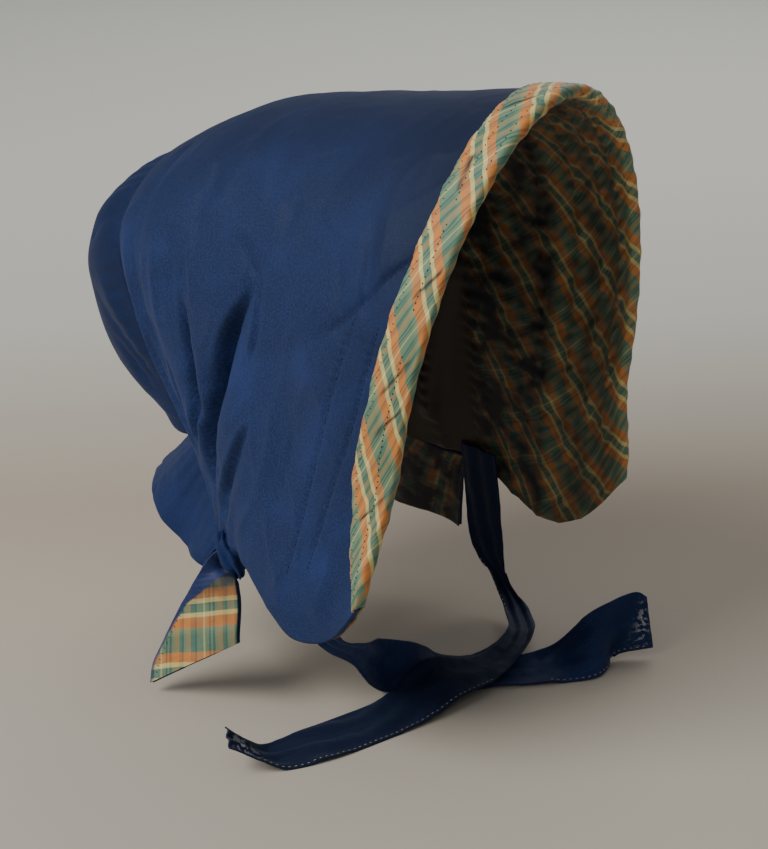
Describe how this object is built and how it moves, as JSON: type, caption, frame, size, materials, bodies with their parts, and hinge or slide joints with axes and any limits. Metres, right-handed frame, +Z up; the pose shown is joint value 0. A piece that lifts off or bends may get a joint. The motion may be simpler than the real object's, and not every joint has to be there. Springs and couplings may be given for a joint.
{
  "type": "quilted hood",
  "caption": "Deep-brimmed quilted hood in navy silk with a plaid silk lining, a gathered crown, a neck curtain and silk ties.",
  "frame": {"origin": "where the inside of the crown rests on the top of the head", "axes": "+Z up, the wearer faces -Y, so the wearer's right is -X; the ties lie on a level under the chin"},
  "size_m": [0.2913, 0.3451, 0.3953],
  "materials": {
    "navy_silk": "plain silk with a soft sheen, lightly wadded",
    "panel_silk": "plain silk with a soft sheen",
    "curtain_silk": "plain silk with a soft sheen",
    "right_tie_silk": "plain silk band",
    "left_tie_silk": "plain silk band",
    "plaid_silk": "plaid silk taffeta",
    "plaid_panel": "plain brown cotton",
    "plaid_curtain": "plaid silk taffeta"
  },
  "bodies": {
    "root": {"hood_cover": "navy_silk", "crown_back": "panel_silk", "hood_lining": "plaid_silk", "crown_back_lining": "plaid_panel", "neck_curtain": "curtain_silk", "curtain_lining": "plaid_curtain", "tie_right": "right_tie_silk", "tie_left": "left_tie_silk"}
  },
  "joints": []
}
